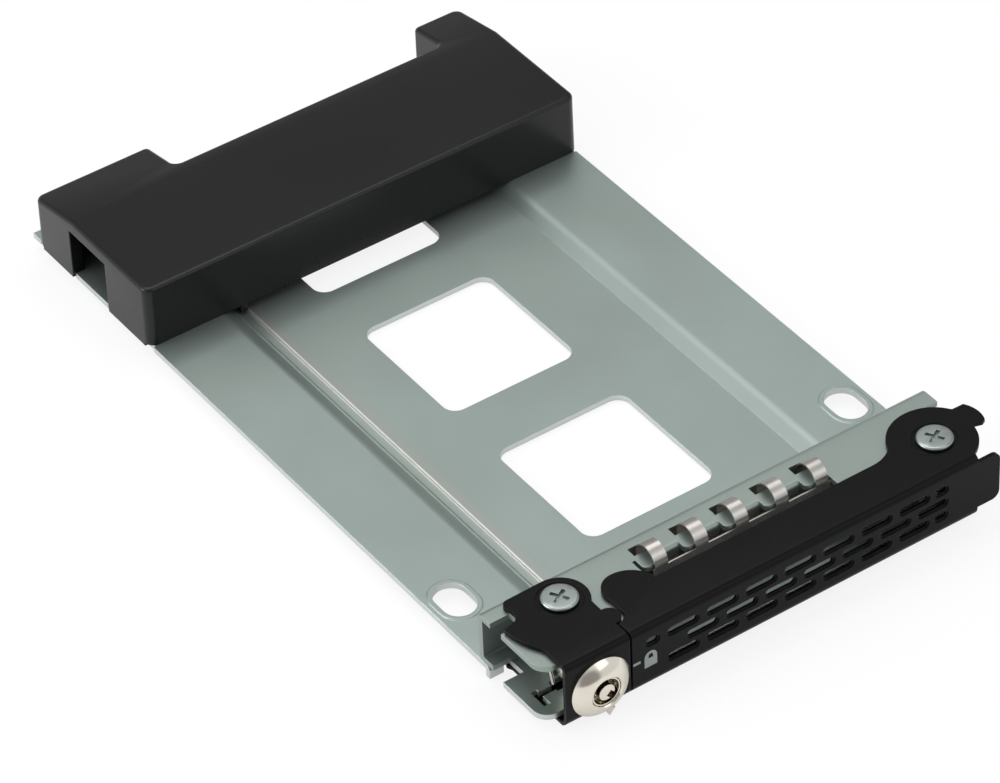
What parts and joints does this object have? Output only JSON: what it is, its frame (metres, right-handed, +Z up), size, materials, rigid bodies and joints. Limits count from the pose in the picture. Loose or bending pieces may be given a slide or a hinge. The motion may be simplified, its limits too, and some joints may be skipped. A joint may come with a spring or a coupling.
{
  "type": "disk enclosure",
  "caption": "Lockable hot-swap tray for a 2.5-inch drive with a swing-out handle, keyed latch, spring contact fingers and a moulded rear block.",
  "frame": {"origin": "on the underside of the sunk floor, on the midline, halfway between the front and the middle window", "axes": "+X to the right seen from the front, +Y to the rear (towards the connector notch), +Z up"},
  "size_m": [0.0719, 0.1229, 0.0118],
  "materials": {
    "zinc_sheet": "satin zinc plate",
    "zinc_screw": "bright zinc plate",
    "black_plastic": "fine matt",
    "black_paint": "satin black",
    "lock_nickel": "satin nickel",
    "spring_nickel": "bright nickel"
  },
  "bodies": {
    "tray": {"tray_plate": "zinc_sheet", "front_bracket": "zinc_sheet", "bracket_rivets": "zinc_screw", "rear_block": "black_plastic", "block_screws": "zinc_screw", "pivot_bush": "zinc_screw", "pivot_screw": "zinc_screw", "pivot_lower_screw": "zinc_screw", "latch_bush": "zinc_screw", "latch_screw": "zinc_screw", "latch_lower_screw": "zinc_screw", "contact_strip": "spring_nickel", "strip_rivets": "zinc_screw", "handle_spring": "spring_nickel", "latch_spring": "spring_nickel"},
    "handle": {"handle": "black_paint"},
    "latch": {"lock_housing": "black_paint", "lock_barrel": "lock_nickel", "lock_nut": "lock_nickel"},
    "plug": {"lock_plug": "lock_nickel", "lock_post": "lock_nickel", "lock_pins": "lock_nickel", "lock_cam": "zinc_screw", "cam_screw": "zinc_screw"}
  },
  "joints": [
    {"name": "handle_hinge", "type": "hinge", "parent": "tray", "child": "handle", "pos_m": [0.0293, -0.0461, 0.0055], "axis": [0, 0, 1], "range_deg": [0, 60]},
    {"name": "latch_hinge", "type": "hinge", "parent": "tray", "child": "latch", "pos_m": [-0.0256, -0.04155, 0.0055], "axis": [0, 0, 1], "range_deg": [-8, 0]},
    {"name": "lock_turn", "type": "hinge", "parent": "latch", "child": "plug", "pos_m": [-0.0274, -0.05, 0.00525], "axis": [0, -1, 0], "range_deg": [0, 90]}
  ]
}
